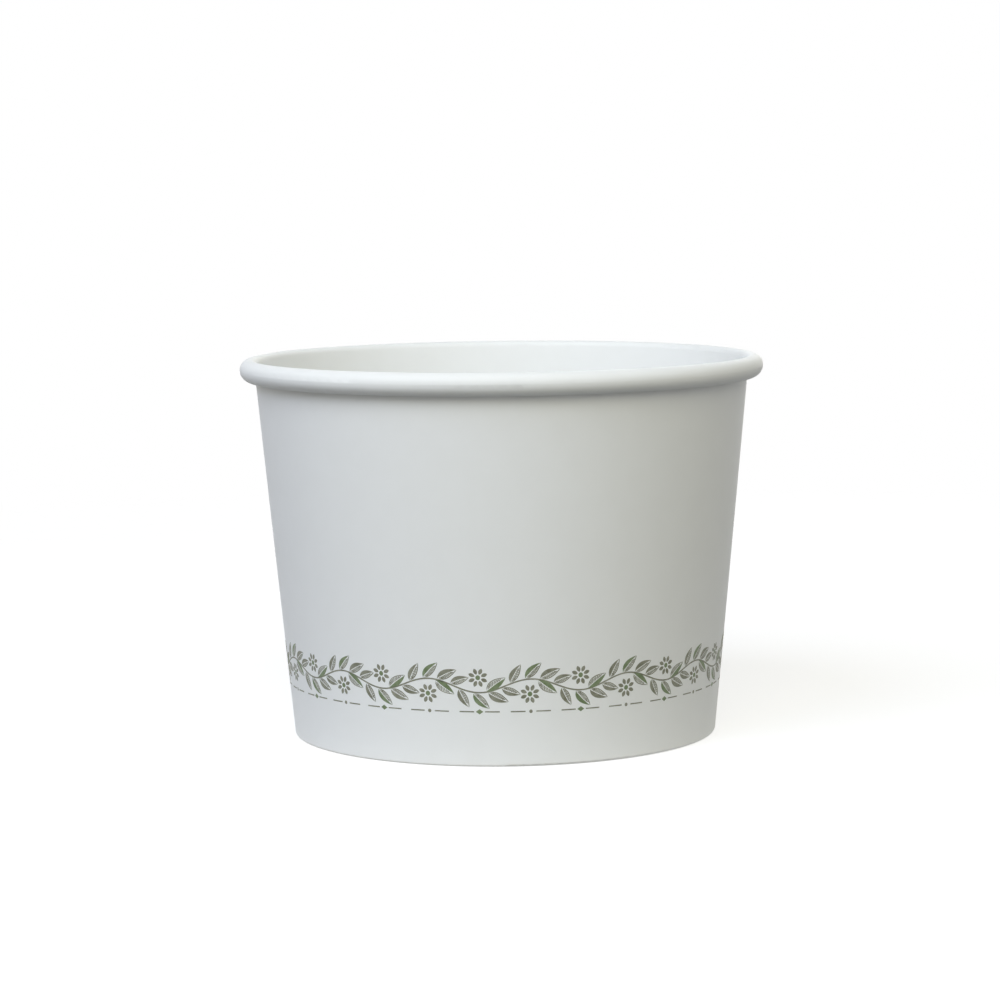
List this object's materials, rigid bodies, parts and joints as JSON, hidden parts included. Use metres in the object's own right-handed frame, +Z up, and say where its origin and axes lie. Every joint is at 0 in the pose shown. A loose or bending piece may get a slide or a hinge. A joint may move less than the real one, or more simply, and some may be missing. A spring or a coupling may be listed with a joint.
{
  "type": "paper soup container",
  "caption": "Round tapered paper soup container, open at the top, with a rolled rim, a sealed side lap and a recessed bottom held in the hemmed foot.",
  "frame": {"origin": "centre of the foot's ring, on the surface that the container stands on", "axes": "+Z up out of the mouth, -Y towards the side that the picture shows, and the side lap at the back, 150 degrees round from +X"},
  "size_m": [0.09, 0.09, 0.065],
  "materials": {
    "wall_board": "satin",
    "bottom_board": "satin",
    "olive_ink": "matt",
    "leaf_green_ink": "matt"
  },
  "bodies": {
    "root": {"sidewall": "wall_board", "bottom_disc": "bottom_board"}
  },
  "joints": []
}
